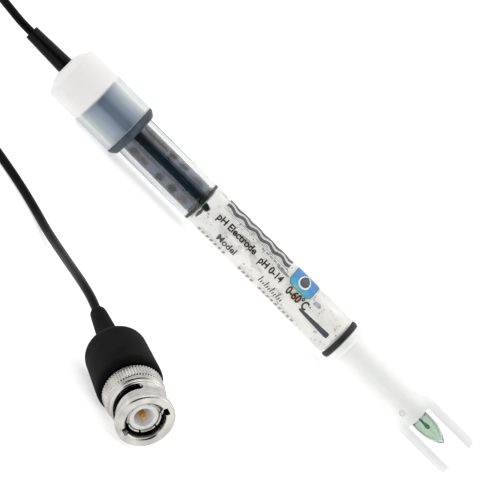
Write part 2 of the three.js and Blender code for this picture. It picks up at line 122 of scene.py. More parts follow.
def make_camera():
    slope = math.cos(CAMERA_ELEVATION)
    forward = Vector((
        math.sin(CAMERA_HEADING) * slope,
        math.cos(CAMERA_HEADING) * slope,
        -math.sin(CAMERA_ELEVATION),
    ))
    level_right = Vector((math.cos(CAMERA_HEADING), -math.sin(CAMERA_HEADING), 0))
    level_up = level_right.cross(forward)
    right = level_right * math.cos(CAMERA_ROLL) + level_up * math.sin(CAMERA_ROLL)
    up = level_up * math.cos(CAMERA_ROLL) - level_right * math.sin(CAMERA_ROLL)
    data = bpy.data.cameras.new("camera")
    data.lens = CAMERA_LENS
    data.clip_end = 20
    camera = new_object("camera", data)
    turn = Matrix((right, up, -forward)).transposed().to_4x4()
    camera.matrix_world = Matrix.Translation(AIM - forward * CAMERA_DISTANCE) @ turn
    bpy.context.scene.camera = camera


# ---- materials


def tone(code):
    """A linear colour from a hex code."""
    parts = [int(code[i:i + 2], 16) / 255 for i in (1, 3, 5)]
    linear = [p / 12.92 if p <= 0.04045 else ((p + 0.055) / 1.055) ** 2.4 for p in parts]
    return (*linear, 1.0)


class Paint:
    """The node tree of one procedural material, in the coordinates of the piece it is on."""

    def __init__(self, name, **sockets):
        self.material = bpy.data.materials.new(name)
        self.material.use_nodes = True
        self.tree = self.material.node_tree
        self.shader = self.tree.nodes["Principled BSDF"]
        self.place = self.node("ShaderNodeTexCoord").outputs["Object"]
        for socket, value in sockets.items():
            self.shader.inputs[socket.replace("_", " ")].default_value = value

    def node(self, kind, **values):
        node = self.tree.nodes.new(kind)
        for key, value in values.items():
            setattr(node, key, value)
        return node

    def feed(self, target, source):
        """Links an output to an input, or sets the input to a plain value."""
        if isinstance(source, bpy.types.NodeSocket):
            self.tree.links.new(source, target)
        else:
            target.default_value = source

    def texture(self, kind, grain, stretch=(1, 1, 1)):
        """A texture about grain millimetres across, longer where stretch is small."""
        mapping = self.node("ShaderNodeMapping")
        mapping.inputs["Scale"].default_value = [s / (grain * MM) for s in stretch]
        self.feed(mapping.inputs["Vector"], self.place)
        texture = self.node(kind)
        texture.inputs["Scale"].default_value = 1.0
        self.feed(texture.inputs["Vector"], mapping.outputs["Vector"])
        return texture

    def noise(self, grain, stretch=(1, 1, 1), detail=3.0):
        texture = self.texture("ShaderNodeTexNoise", grain, stretch)
        texture.inputs["Detail"].default_value = detail
        return texture.outputs["Fac"]

    def cells(self, grain):
        """Distance to the nearest of many scattered points."""
        return self.texture("ShaderNodeTexVoronoi", grain).outputs["Distance"]

    def span(self, value, low, high, to_low=0.0, to_high=1.0):
        node = self.node("ShaderNodeMapRange")
        for socket, number in zip(node.inputs[1:5], (low, high, to_low, to_high)):
            socket.default_value = number
        self.feed(node.inputs[0], value)
        return node.outputs[0]

    def math(self, operation, first, second=0.0):
        node = self.node("ShaderNodeMath", operation=operation)
        self.feed(node.inputs[0], first)
        self.feed(node.inputs[1], second)
        return node.outputs[0]

    def product(self, first, second):
        return self.math("MULTIPLY", first, second)

    def mix(self, share, first, second):
        node = self.node("ShaderNodeMix", data_type="RGBA")
        self.feed(node.inputs["Factor"], share)
        self.feed(node.inputs["A"], first)
        self.feed(node.inputs["B"], second)
        return node.outputs["Result"]

    def ramp(self, value, *stops):
        """A smooth colour ramp through (position, hex code) stops."""
        node = self.node("ShaderNodeValToRGB")
        node.color_ramp.interpolation = "EASE"
        points = node.color_ramp.elements
        while len(points) < len(stops):
            points.new(0.5)
        for point, (position, code) in zip(points, stops):
            point.position = position
            point.color = tone(code)
        self.feed(node.inputs[0], value)
        return node.outputs[0]

    def axes(self):
        node = self.node("ShaderNodeSeparateXYZ")
        self.feed(node.inputs[0], self.place)
        return node.outputs

    def along(self, low, high):
        """Rises from 0 to 1 between two places along the axis, in millimetres."""
        return self.span(self.axes()["X"], low * MM, high * MM)

    def bump(self, height, depth):
        """Raises the surface by depth millimetres where height is 1."""
        node = self.node("ShaderNodeBump")
        node.inputs["Strength"].default_value = 1.0
        node.inputs["Distance"].default_value = depth * MM
        self.feed(node.inputs["Height"], height)
        self.feed(self.shader.inputs["Normal"], node.outputs[0])

    def colour(self, source):
        self.feed(self.shader.inputs["Base Color"], source)

    def rough(self, source):
        self.feed(self.shader.inputs["Roughness"], source)

    def gloss(self, grain, low, high):
        """Roughness that runs from low to high as the grain rises."""
        self.rough(self.span(grain, 0.3, 0.7, low, high))

    def across(self):
        """Distance above the axis, seen from the printed side."""
        node = self.node("ShaderNodeVectorMath", operation="DOT_PRODUCT")
        self.feed(node.inputs[0], self.place)
        node.inputs[1].default_value = front_and_up()[1]
        return node.outputs["Value"]

    def facing(self, blend, edge, low, high):
        """From low where the surface faces the eye to high where it turns away."""
        rim = self.node("ShaderNodeLayerWeight")
        rim.inputs["Blend"].default_value = blend
        return self.span(rim.outputs["Facing"], 0.0, edge, low, high)

    def spot(self, centre, size, fuzz=0.35):
        """1 inside an oval blot of that size, round a point on the surface, and 0 outside it."""
        shift = self.node("ShaderNodeMapping", vector_type="TEXTURE")
        shift.inputs["Location"].default_value = centre
        shift.inputs["Scale"].default_value = [s / 2 * MM for s in size]
        self.feed(shift.inputs["Vector"], self.place)
        length = self.node("ShaderNodeVectorMath", operation="LENGTH")
        self.feed(length.inputs[0], shift.outputs["Vector"])
        wander = self.span(self.noise(1.2), 0, 1, -fuzz, fuzz)
        edge = self.math("ADD", length.outputs["Value"], wander)
        return self.span(edge, 1.0 + fuzz / 2, 1.0 - fuzz / 2)


def grained(name, light, dark, grain, rough, depth, stretch=(1, 1, 1), **sockets):
    """Colour drifts between two tones, and a finer grain varies the gloss and raises the surface."""
    paint = Paint(name, **sockets)
    drift = paint.noise(grain, stretch)
    fine = paint.noise(grain / 7, stretch, 5.0)
    paint.colour(paint.ramp(drift, (0.3, dark), (0.7, light)))
    paint.rough(paint.span(fine, 0.25, 0.75, rough[0], rough[1]))
    paint.bump(fine, depth)
    return paint.material


def turned_metal(name, light, dark, rough, depth, painted_shade_between=None, **sockets):
    """Metal with fine turning marks round the axis and faint cloudy patches.

    Given a pair of radii, in millimetres, it is darkened between them with painted shade, as inside a shaded
    bore.
    """
    paint = Paint(name, Metallic=1.0, **sockets)
    marks = paint.noise(0.5, (1, 0.04, 0.04), 4.0)
    cloud = paint.noise(3.0)
    share = paint.math("ADD", paint.product(marks, 0.5), paint.product(cloud, 0.5))
    colour = paint.ramp(share, (0.35, dark), (0.65, light))
    if painted_shade_between:
        # painted shade: the colour goes near black in the bore, where shadow falls
        colour = paint.mix(painted_bore_shade(paint, *painted_shade_between), colour, tone("#17130f"))
    paint.colour(colour)
    paint.gloss(share, rough[0], rough[1])
    paint.bump(marks, depth)
    return paint.material


def painted_bore_shade(paint, inner, outer):
    """Painted shade for a bore: 1 between two radii round the X axis, more than a millimetre behind the
    front, else 0.
    """
    axes = paint.axes()
    squares = [paint.product(axes[way], axes[way]) for way in ("Y", "Z")]
    radius = paint.math("SQRT", paint.math("ADD", *squares))
    above = paint.span(radius, (inner - 0.03) * MM, inner * MM)
    below = paint.span(radius, (outer + 0.03) * MM, outer * MM)
    deep = paint.span(axes["X"], -0.6 * MM, -1.2 * MM)
    return paint.product(paint.product(above, below), deep)


def jacket_material():
    paint = Paint("lead_jacket", Specular_IOR_Level=0.07)
    wear = paint.noise(4.0)
    grain = paint.noise(0.35, detail=5.0)
    paint.colour(paint.ramp(wear, (0.3, "#040404"), (0.75, "#0a0b0b")))
    paint.gloss(grain, 0.2, 0.3)
    paint.bump(grain, 0.01)
    return paint.material


def boot_material():
    """Moulded black rubber with a fine matt texture, a few paler rubbed places and painted shade, near
    black, on its front bevel.
    """
    paint = Paint("boot_rubber", Specular_IOR_Level=0.06)
    wear = paint.noise(5.0)
    grain = paint.noise(0.25, detail=6.0)
    # painted shade: the front bevel beside the nut is painted near black, as the shadowed gap there
    front = paint.along(-14.9, -14.3)
    colour = paint.ramp(wear, (0.35, "#0b0b0b"), (0.7, "#131313"))
    paint.colour(paint.mix(front, colour, tone("#020202")))
    paint.gloss(grain, 0.55, 0.75)
    paint.bump(grain, 0.03)
    return paint.material


def cap_material():
    """Frosted plastic: what lies right behind it shows through softly."""
    paint = Paint("frosted_cap", IOR=1.45, Specular_IOR_Level=0.2)
    cloud = paint.noise(7.0)
    grain = paint.noise(0.3, detail=5.0)
    dense = paint.along(12.6, 11.6)
    milky = paint.ramp(cloud, (0.3, "#eceeee"), (0.5, "#f3f1f0"), (0.7, "#f6f2f3"))
    paint.colour(paint.mix(dense, tone("#dfe4e3"), milky))
    paint.gloss(grain, 0.4, 0.55)
    paint.bump(grain, 0.012)
    veil = paint.facing(0.35, 0.8, 0.1, 0.8)
    paint.feed(paint.shader.inputs["Alpha"], paint.math("MAXIMUM", veil, dense))
    return paint.material


GUARD_PAINTED_GLOW = 0.08  # painted light: the guard glows by emission, standing in for light that soaks through the thin plastic


def guard_material():
    paint = Paint("moulded_guard", IOR=1.45, Specular_IOR_Level=0.4, Emission_Strength=GUARD_PAINTED_GLOW)
    cloud = paint.noise(6.0)
    grain = paint.noise(0.4, detail=4.0)
    body = paint.ramp(cloud, (0.3, "#f6f7f5"), (0.7, "#fafaf7"))
    prong = paint.along(128, 133)
    paint.colour(paint.mix(prong, body, tone("#e2e3e2")))
    paint.gloss(grain, 0.3, 0.42)
    paint.bump(grain, 0.01)
    paint.feed(paint.shader.inputs["Alpha"], paint.facing(0.4, 0.9, 0.66, 0.95))
    return paint.material


def clear_paint(name, colour, ior, scratch, **sockets):
    """Clear moulding or glass with hairline scratches along it, and its colour socket."""
    paint = Paint(name, IOR=ior, Transmission_Weight=1.0, **sockets)
    haze = paint.noise(5.0)
    hairline = paint.noise(0.4, (0.05, 1, 1), 3.0)
    tint = paint.mix(haze, tone(colour[0]), tone(colour[1]))
    paint.colour(tint)
    paint.rough(paint.span(hairline, 0.55, 0.8, 0.0, 0.08))
    paint.bump(paint.span(hairline, 0.62, 0.7), scratch)
    return paint, tint


def clear_material(name, colour, ior, scratch):
    return clear_paint(name, colour, ior, scratch)[0].material


def across_share(paint, radius, wander=0.0):
    """0 at the lower edge of a cylinder seen from the front, 1 at its upper edge."""
    offset = paint.across()
    if wander:
        streak = paint.noise(1.6, (0.12, 1, 1), 4.0)
        offset = paint.math("ADD", offset, paint.span(streak, 0.2, 0.8, -wander * MM, wander * MM))
    return paint.span(offset, -radius * MM, radius * MM)


def tube_material():
    """The clear body, whose end is bonded with slate blue resin inside the cap; that resin pales towards its
    upper and lower edges with painted light.
    """
    paint, tint = clear_paint("clear_tube", ("#fbfcfc", "#f4f8f8"), 1.49, 0.004, Specular_IOR_Level=0.07)
    clear = paint.along(CAP_LENGTH - 0.3, CAP_LENGTH)
    # slate blue resin, strongest across the middle; its paling towards the upper and lower edges is painted
    # light
    resin_and_painted_shade = paint.ramp(
        across_share(paint, TUBE_RADIUS, 0.25), (0.0, "#c6d0da"), (0.1, "#98acc2"), (0.32, "#8aa3c0"),
        (0.46, "#205887"), (0.58, "#1a5080"), (0.7, "#6888a8"), (0.9, "#9aadc2"), (1.0, "#c9d2db"),
    )
    paint.colour(paint.mix(clear, resin_and_painted_shade, tint))
    paint.feed(paint.shader.inputs["Transmission Weight"], clear)
    return paint.material


def surface_point(along, drop, radius):
    """The point of the cylinder's visible side that lies drop mm below the probe's axis."""
    front, up = front_and_up()
    sine = max(-1.0, min(1.0, drop / radius))
    point = front * (radius * math.sqrt(1 - sine * sine)) - up * (radius * sine)
    return Vector((along, point.y, point.z)) * MM


def front_and_up():
    """Unit vectors across the probe, towards the printed side and square to it."""
    front = Vector((0, -math.cos(CAMERA_ELEVATION), math.sin(CAMERA_ELEVATION)))
    up = Vector((0, math.sin(CAMERA_ELEVATION), math.cos(CAMERA_ELEVATION)))
    return front, up


def add_spots(paint, colour, spots, radius, swell=1.0, fuzz=0.35):
    """Lays blots of other tones over a colour: (along, drop, (length, width), hex code, strength).

    The clear wall makes what touches it look wider by swell, so drops and widths are divided by it.
    """
    for along, drop, (length, width), code, strength in spots:
        size = (length, width / swell, width / swell)
        share = paint.spot(surface_point(along, drop / swell, radius), size, fuzz)
        colour = paint.mix(paint.product(share, strength), colour, tone(code))
    return colour


def core_material():
    """Cast resin with drips and trapped bubbles: dark along its front and back, with paler slate bands
    towards its upper and lower edges that are painted reflection.
    """
    paint = Paint("dark_casting", Specular_IOR_Level=0.08)
    streak = paint.noise(1.6, (0.12, 1, 1), 4.0)
    # painted reflection: paler bands near the upper and lower edges, as a glossy cylinder shows the studio's
    # light; dark across the middle
    colour = paint.ramp(
        across_share(paint, CORE_RADIUS, 0.7), (0.0, "#555a68"), (0.14, "#868b9e"), (0.28, "#7a8092"),
        (0.38, "#2a3948"), (0.6, "#1b2834"), (0.7, "#4b5565"), (0.84, "#8b90a3"), (1.0, "#5d606b"),
    )
    scratch = paint.noise(0.7, (0.06, 1, 1), 5.0)
    colour = paint.mix(paint.span(scratch, 0.6, 0.72, 0.0, 0.4), colour, tone("#8d93a0"))
    colour = add_spots(paint, colour, CORE_SPOTS, CORE_RADIUS, fuzz=0.8)
    paint.colour(colour)
    paint.gloss(streak, 0.18, 0.35)
    paint.bump(scratch, 0.05)
    return paint.material


CORE_SPOTS = [
    (28.6, -3.3, (6.0, 3.4), "#353439", 1.0),
    (32.5, -3.3, (6.5, 2.2), "#3b393e", 1.0),
    (36.8, -3.3, (2.6, 4.2), "#20201a", 1.0),
    (41.0, -3.1, (2.6, 3.2), "#3c3c46", 0.85),
    (28.6, 3.3, (2.6, 3.6), "#060708", 1.0),
    (31.5, 3.2, (5.0, 2.2), "#3c3a3a", 0.85),
    (38.1, 3.2, (2.2, 3.0), "#07080a", 1.0),
    (42.7, 3.1, (2.8, 3.0), "#0c0d10", 1.0),
    (46.5, 2.9, (3.2, 2.6), "#4f4040", 0.75),
    (46.3, -2.8, (3.4, 2.8), "#474950", 0.75),
]

GEL_SPOTS = [
    (52.0, 0.4, (3.4, 3.0), "#10161c", 1.0),
    (52.2, 3.4, (1.0, 5.0), "#1c1c20", 0.95),
    (52.9, -2.6, (2.2, 3.4), "#ffffff", 0.9),
    (54.1, 1.4, (0.9, 0.9), "#c98f88", 0.8),
    (66.0, -1.2, (4.5, 2.6), "#a6a5a2", 0.65),
    (70.5, 1.0, (3.0, 2.2), "#b5b3ae", 0.5),
    (78.8, -3.0, (5.0, 1.3), "#5f6064", 0.75),
    (86.0, 0.6, (3.4, 3.2), "#d9783f", 0.6),
    (91.6, -3.2, (2.6, 2.0), "#8f9496", 0.7),
    (73.0, 2.6, (5.0, 1.6), "#bdbbb6", 0.5),
    (60.0, 2.0, (3.4, 2.4), "#c2bfb8", 0.45),
    (94.5, 3.6, (5.0, 1.6), "#d3d0c4", 0.4),
    (82.0, 3.4, (3.0, 1.4), "#c6c5c0", 0.5),
]


WALL_SWELL = 1.49  # the index of the clear wall
GEL_PAINTED_GLOW = 0.29  # painted light: the gel glows by emission, standing in for light that soaks through it


def gel_material():
    """Cream gel with swirls, small bubbles and grey smudges, and a painted glow in its own colour."""
    paint = Paint("cream_gel", Specular_IOR_Level=0.3)
    swirl = paint.noise(6.0, (0.5, 1, 1), 4.0)
    colour = paint.ramp(swirl, (0.25, "#eeefee"), (0.45, "#f6f4f0"), (0.6, "#fbf8f2"), (0.8, "#f5eeeb"))
    bubbles = paint.cells(1.2)
    ring = paint.product(paint.span(bubbles, 0.2, 0.26), paint.span(bubbles, 0.36, 0.28))
    crowd = paint.span(paint.noise(4.0), 0.45, 0.58)
    colour = paint.mix(paint.product(ring, crowd), colour, tone("#8f8d88"))
    specks = paint.span(paint.noise(0.8, detail=6.0), 0.6, 0.68)
    colour = paint.mix(paint.product(specks, crowd), colour, tone("#9b9a97"))
    colour = add_spots(paint, colour, GEL_SPOTS, CONTACT_RADIUS, WALL_SWELL)
    paint.colour(colour)
    # painted light: the gel glows in its own colour
    paint.feed(paint.shader.inputs["Emission Color"], colour)
    paint.shader.inputs["Emission Strength"].default_value = GEL_PAINTED_GLOW
    paint.gloss(swirl, 0.35, 0.5)
    paint.bump(bubbles, 0.06)
    return paint.material


def speckled_rubber():
    """Black rubber with a little pale dust on it."""
    paint = Paint("seal_rubber", Specular_IOR_Level=0.4)
    dust = paint.noise(0.5, detail=6.0)
    colour = paint.ramp(dust, (0.3, "#131415"), (0.66, "#1d1e1f"), (0.78, "#6f7172"))
    paint.colour(colour)
    paint.gloss(dust, 0.35, 0.6)
    paint.bump(dust, 0.02)
    return paint.material


def emblem_material():
    """Printed patch that runs from cyan at its lower edge to blue."""
    paint = Paint("printed_blue", Specular_IOR_Level=0.4)
    share = paint.span(paint.across(), 1.0 * MM, 6.0 * MM)
    share = paint.math("ADD", share, paint.span(paint.noise(1.5), 0.3, 0.7, -0.12, 0.12))
    colour = paint.ramp(share, (0.0, "#8fc9b8"), (0.22, "#4fb3cf"), (0.5, "#4a93cc"), (1.0, "#3f86c2"))
    paint.colour(colour)
    paint.gloss(paint.noise(0.4), 0.3, 0.45)
    return paint.material


def make_materials():
    return {
        "black_rubber": grained("black_rubber", "#090a0a", "#040404", 2.5, (0.22, 0.34), 0.006,
                          Specular_IOR_Level=0.12),
        "boot": boot_material(),
        "lead_jacket": jacket_material(),
        "seal": speckled_rubber(),
        "frosted_cap": cap_material(),
        "white_plastic": guard_material(),
        "slate_epoxy": grained("slate_resin", "#465361", "#1f2c39", 5.0, (0.28, 0.42), 0.01,
                        Specular_IOR_Level=0.3),
        "dark_epoxy": core_material(),
        "dark": grained("dark_resin", "#26303a", "#141b22", 2.0, (0.25, 0.4), 0.01),
        "white_epoxy": grained("white_filling", "#f4f1f0", "#e9e9e8", 5.0, (0.5, 0.7), 0.02),
        "clear_plastic": tube_material(),
        "clear_glass": clear_material("stem_glass", ("#eef7f2", "#dcefe6"), 1.5, 0.002),
        "green_glass": clear_material("green_glass", ("#d2dfd5", "#c2d4c8"), 1.5, 0.002),
        "cream_gel": gel_material(),
        "navy_ceramic": grained("navy_ceramic", "#3b3d52", "#23273c", 1.2, (0.5, 0.7), 0.02),
        "grey_ceramic": grained("porous_ceramic", "#f1f0ec", "#dddcd7", 0.5, (0.7, 0.9), 0.05),
        "nickel": turned_metal("nickel_plate", "#d2d0cb", "#aeaca7", (0.16, 0.3), 0.004),
        # the nut's bore and the outside of the contact sleeve inside it get painted shade between these
        # radii
        "nut": turned_metal("nut_nickel", "#d2d0cb", "#aeaca7", (0.16, 0.3), 0.004, (4.9, 5.9)),
        "sleeve": turned_metal("sleeve_nickel", "#d8d6d2", "#b9b7b2", (0.2, 0.3), 0.004, (4.2, 4.3)),
        "steel": turned_metal("spring_steel", "#b4b6b8", "#8c8f92", (0.25, 0.4), 0.006),
        # painted light: the element glows faintly, so it does not go black inside the glass
        "silver": grained("dull_silver", "#aab4a6", "#8d988a", 1.0, (0.5, 0.7), 0.02,
                          Emission_Strength=0.1),
        "copper": turned_metal("copper_wire", "#c98352", "#a5623a", (0.25, 0.4), 0.004),
        "gold": turned_metal("gold_plate", "#e0b35a", "#b9842f", (0.15, 0.28), 0.003),
        "white_ptfe": grained("white_insulator", "#f6f4f3", "#e9e6e6", 2.0, (0.4, 0.55), 0.006),
        "polythene": grained("polythene", "#dcddd8", "#c8c9c3", 2.0, (0.4, 0.55), 0.01),
        "ink": grained("black_ink", "#2c2826", "#171413", 0.6, (0.4, 0.6), 0.004),
        "grey_ink": grained("grey_ink", "#5a5b5e", "#3f4043", 0.8, (0.4, 0.6), 0.004),
        "pale_ink": grained("pale_ink", "#a5a6a5", "#8b8c8c", 0.8, (0.4, 0.6), 0.004),
        "blue_ink": emblem_material(),
        "white_ink": grained("white_ink", "#f2f4f4", "#dfe5e6", 0.8, (0.4, 0.6), 0.004),
    }


# ---- mesh helpers


def softened(outline, reach_limit, steps=3):
    """Rounds the corners of a closed outline by up to reach_limit millimetres."""
    points = [Vector(p) for p in outline]
    soft = []
    for i, corner in enumerate(points):
        before = points[i - 1] - corner
        after = points[(i + 1) % len(points)] - corner
        straight = before.length < 1e-6 or after.length < 1e-6 or before.angle(-after) < 0.15
        if corner.y < 1e-6 or straight:
            soft.append(corner)
            continue
        reach = min(reach_limit, 0.45 * before.length, 0.45 * after.length)
        start = corner + before.normalized() * reach
        end = corner + after.normalized() * reach
        for step in range(steps + 1):
            share = step / steps
            soft.append(start.lerp(corner, share).lerp(corner.lerp(end, share), share))
    return soft


def finished(bm, name):
    mesh = bpy.data.meshes.new(name)
    bm.to_mesh(mesh)
    bm.free()
    return mesh


def solid_mesh(name, fill):
    """A mesh whose faces point out, made by fill(bm) in millimetres."""
    bm = bmesh.new()
    fill(bm)
    bmesh.ops.remove_doubles(bm, verts=bm.verts, dist=1e-5)
    bmesh.ops.recalc_face_normals(bm, faces=bm.faces)
    bmesh.ops.scale(bm, vec=(MM, MM, MM), verts=bm.verts)
    return finished(bm, name)


def smooth(mesh):
    mesh.polygons.foreach_set("use_smooth", [True] * len(mesh.polygons))
    mesh.set_sharp_from_angle(angle=SHARP_ANGLE)


def turned_mesh(name, outline, sides=SIDES, reach=0.12, shape=None):
    """Turns a closed outline about X. shape(along, radius, angle) may move a point in or out."""
    points = softened(outline, reach) if reach else [Vector(p) for p in outline]

    def ring(bm, along, radius):
        if radius < 1e-6:
            return [bm.verts.new((along, 0, 0))]
        corners = []
        for side in range(sides):
            angle = 2 * math.pi * side / sides
            x, r = shape(along, radius, angle) if shape else (along, radius)
            corners.append(bm.verts.new((x, r * math.cos(angle), r * math.sin(angle))))
        return corners

    def fill(bm):
        rings = [ring(bm, along, radius) for along, radius in points]
        for near, far in zip(rings, rings[1:] + rings[:1]):
            if len(near) == len(far) == 1:
                continue
            for side in range(sides):
                after = side + 1
                corners = [near[side % len(near)], near[after % len(near)],
                           far[after % len(far)], far[side % len(far)]]
                bm.faces.new(list(dict.fromkeys(corners)))

    return solid_mesh(name, fill)


def new_object(name, data):
    thing = bpy.data.objects.new(name, data)
    bpy.context.scene.collection.objects.link(thing)
    return thing


def place(name, mesh, material, home, *nodes, body="root"):
    """Puts a mesh made in the probe's or the plug's frame where it belongs."""
    thing = new_object(name, mesh)
    mesh.materials.clear()
    mesh.materials.append(MATERIALS[material])
    thing.matrix_world = home
    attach(thing, body)
    if nodes:
        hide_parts(*nodes)
    return thing


def stand_in(node, mesh, material, home, body="root"):
    """A piece that stands for the CAD node of the same name."""
    return place(f"{node}_detail", mesh, material, home, node, body=body)


def turned(node, outline, material, home, sides=SIDES, reach=0.12, body="root", shape=None):
    mesh = turned_mesh(node, outline, sides, reach, shape)
    smooth(mesh)
    return stand_in(node, mesh, material, home, body)


def rod_outline(start, end, radius):
    return [[start, 0], [start, radius], [end, radius], [end, 0]]


def pipe_outline(start, end, inner, outer):
    return [[start, inner], [start, outer], [end, outer], [end, inner]]


def off_axis(mesh, distance, turn):
    shift = Vector((0, math.cos(turn), math.sin(turn))) * distance * MM
    mesh.transform(Matrix.Translation(shift))


def box_mesh(low, high, turn=0.0):
    def fill(bm):
        bmesh.ops.create_cube(bm, size=1.0)
        size = Vector(high) - Vector(low)
        middle = (Vector(high) + Vector(low)) / 2
        bmesh.ops.scale(bm, vec=size, verts=bm.verts)
        bmesh.ops.translate(bm, vec=middle, verts=bm.verts)
        bmesh.ops.rotate(bm, cent=(0, 0, 0), matrix=Matrix.Rotation(turn, 3, "X"), verts=bm.verts)

    return solid_mesh("cutter", fill)


def pin_mesh(along, low, high, radius, turn, sides=32):
    """A pin that points straight out from the X axis."""
    mesh = turned_mesh("cutter", rod_outline(low, high, radius), sides, 0)
    mesh.transform(Matrix.Rotation(math.pi / 2, 4, "Z"))
    mesh.transform(Matrix.Rotation(turn, 4, "X"))
    mesh.transform(Matrix.Translation(Vector((along, 0, 0)) * MM))
    return mesh


def cut(mesh, cutters):
    """The mesh with each cutter's shape taken out."""
    body = new_object("being_cut", mesh)
    tools = [new_object("cutter", cutter) for cutter in cutters]
    for tool in tools:
        step = body.modifiers.new("cut", "BOOLEAN")
        step.operation = "DIFFERENCE"
        step.solver = "EXACT"
        step.object = tool
    ready = body.evaluated_get(bpy.context.evaluated_depsgraph_get())
    result = bpy.data.meshes.new_from_object(ready)
    for thing in [body, *tools]:
        bpy.data.objects.remove(thing)
    smooth(result)
    return result


# ---- lead

COIL_CENTRE = Vector((-118, -30, 0))
COIL_OUTER_TURN = 18.4
COIL_INNER_TURN = 8.2
COIL_LOW = 1.95
COIL_HIGH = 4.15
COIL_PITCH = 2.3
COIL_POINTS = 20  # points in each turn

LEAD_FROM_PROBE = [
    (-79.95, 0, 8.05), (-84, 0.4, 8.05), (-88, 2.2, 8.0), (-92, 4.8, 7.7), (-96.5, 7.2, 6.8),
    (-102, 8.8, 5.5), (-108.5, 9, 4.1), (-115.5, 7.2, 2.95), (-122.5, 3.4, 2.2), (-128.8, -2.2, 1.95),
    (-133.6, -9, 1.95), (-136.9, -16, 1.95), (-138, -20.5, 1.95),
]
LEAD_TO_PLUG = [
    (-124, -50.9, 3.1), (-115, -56.4, 1.9), (-106, -61.4, 1.25), (-97, -66.3, 1.15),
    (-88, -71.2, 1.15), (-79, -76.2, 1.15), (-70.6, -81.2, 1.15), (-62.9, -86.3, 1.15),
    (-56, -91.8, 1.15), (-50.1, -97.9, 1.2), (-45.4, -104.6, 1.6), (-41.7, -111.7, 2.6),
    (-38.7, -118.9, 3.9), (-36, -126.2, 5.3), (-33.4, -132.9, 6.6), (-30.7, -138.9, 7.6),
    (-28.2, -143.2, 8.05), (-24.97, -148.3, 8.1),
]


def coil_point(degrees, radius, height):
    angle = math.radians(degrees)
    return tuple(COIL_CENTRE + Vector((radius * math.cos(angle), radius * math.sin(angle), height)))


def coil_turns(start, turns, radius, step, height):
    """Points of a flat spiral that starts at an angle in degrees and grows by step a turn."""
    count = round(turns * COIL_POINTS)
    return [
        coil_point(start + 360 * i / COIL_POINTS, radius + step * i / COIL_POINTS, height)
        for i in range(count + 1)
    ]


def lead_route():
    """The lead in from the probe, round the lower turns, back out over them and on to the plug."""
    lead_in = [coil_point(172, 20.6, COIL_LOW), coil_point(190, 19.0, COIL_LOW)]
    lower = coil_turns(212, 4.5, COIL_OUTER_TURN, -COIL_PITCH, COIL_LOW)
    rise = [coil_point(56, 7.9, 2.7), coil_point(80, 7.9, 3.4), coil_point(104, 8.0, 4.0)]
    upper = coil_turns(128, 4.25, COIL_INNER_TURN, COIL_PITCH, COIL_HIGH)
    lead_out = [coil_point(240, 18.6, 3.7)]
    return [*LEAD_FROM_PROBE, *lead_in, *lower, *rise, *upper, *lead_out, *LEAD_TO_PLUG]


def make_lead():
    data = bpy.data.curves.new("lead", "CURVE")
    data.dimensions = "3D"
    data.resolution_u = 8
    data.bevel_depth = LEAD_RADIUS * MM
    data.bevel_resolution = 6
    data.use_fill_caps = True
    route = lead_route()
    line = data.splines.new("BEZIER")
    line.bezier_points.add(len(route) - 1)
    for point, spot in zip(line.bezier_points, route):
        point.co = Vector(spot) * MM
        point.handle_left_type = "AUTO"
        point.handle_right_type = "AUTO"
    data.materials.append(MATERIALS["lead_jacket"])
    lead = new_object("lead", data)
    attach(lead, "root")
    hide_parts("lead_run_probe", "lead_coil", "lead_run_plug")
    return lead


# ---- cap end


def make_cap_end():
    turned("strain_relief_sleeve", [
        [-SLEEVE_LENGTH, LEAD_HOLE], [-SLEEVE_LENGTH, 1.9], [-SLEEVE_LENGTH + 0.15, 2.0], [0, 2.4],
        [CAP_CEILING, 2.4], [CAP_CEILING, LEAD_HOLE],
    ], "black_rubber", PROBE, FINE_SIDES * 2)
    turned("end_cap", [
        [0, 2.5], [0, 3.0], [0.35, 4.5], [0.95, 5.7], [1.6, 6.5], [1.85, 6.9], [1.75, 7.25], [2.15, 7.75],
        [2.6, CAP_RADIUS], [CAP_LENGTH, CAP_RADIUS], [CAP_LENGTH, CAP_BORE], [3.4, CAP_BORE],
        [CAP_CEILING, 5.5], [CAP_CEILING, 2.5],
    ], "frosted_cap", PROBE, reach=0.3)
    ring_start = CAP_LENGTH + 0.05
    turned("cap_shoulder_ring", [
        [ring_start, 6.05], [ring_start, CAP_RADIUS], [ring_start + 0.75, 7.95], [ring_start + 1.4, 7.5],
        [26.0, 6.8], [26.0, 6.05],
    ], "slate_epoxy", PROBE, reach=0.25)
    turned("cap_filling", [
        [2.9, LEAD_HOLE], [2.9, 5.2], [3.7, 6.0], [11.9, 6.0], [11.9, LEAD_HOLE],
        [8.3, LEAD_HOLE], [8.3, 2.9], [4.7, 2.9], [4.7, LEAD_HOLE],
    ], "white_epoxy", PROBE)
    turned("cable_clamp", pipe_outline(5, 8, LEAD_HOLE, 2.6), "steel", PROBE, FINE_SIDES)
    turned("lead_end_in_cap", rod_outline(-12.3, 11, LEAD_RADIUS), "lead_jacket", PROBE, FINE_SIDES)
    turned("centre_conductor", rod_outline(11.3, 41, 0.6), "copper", PROBE, FINE_SIDES)


# ---- clear body and its filling


def make_core():
    outline = [
        [12.4, 0.9], [12.4, CORE_RADIUS], [CORE_END, CORE_RADIUS], [CORE_END, 2.2], [41.0, 2.2], [41.0, 0.9],
    ]
    turned("potting_core", outline, "dark_epoxy", PROBE, reach=0.2)


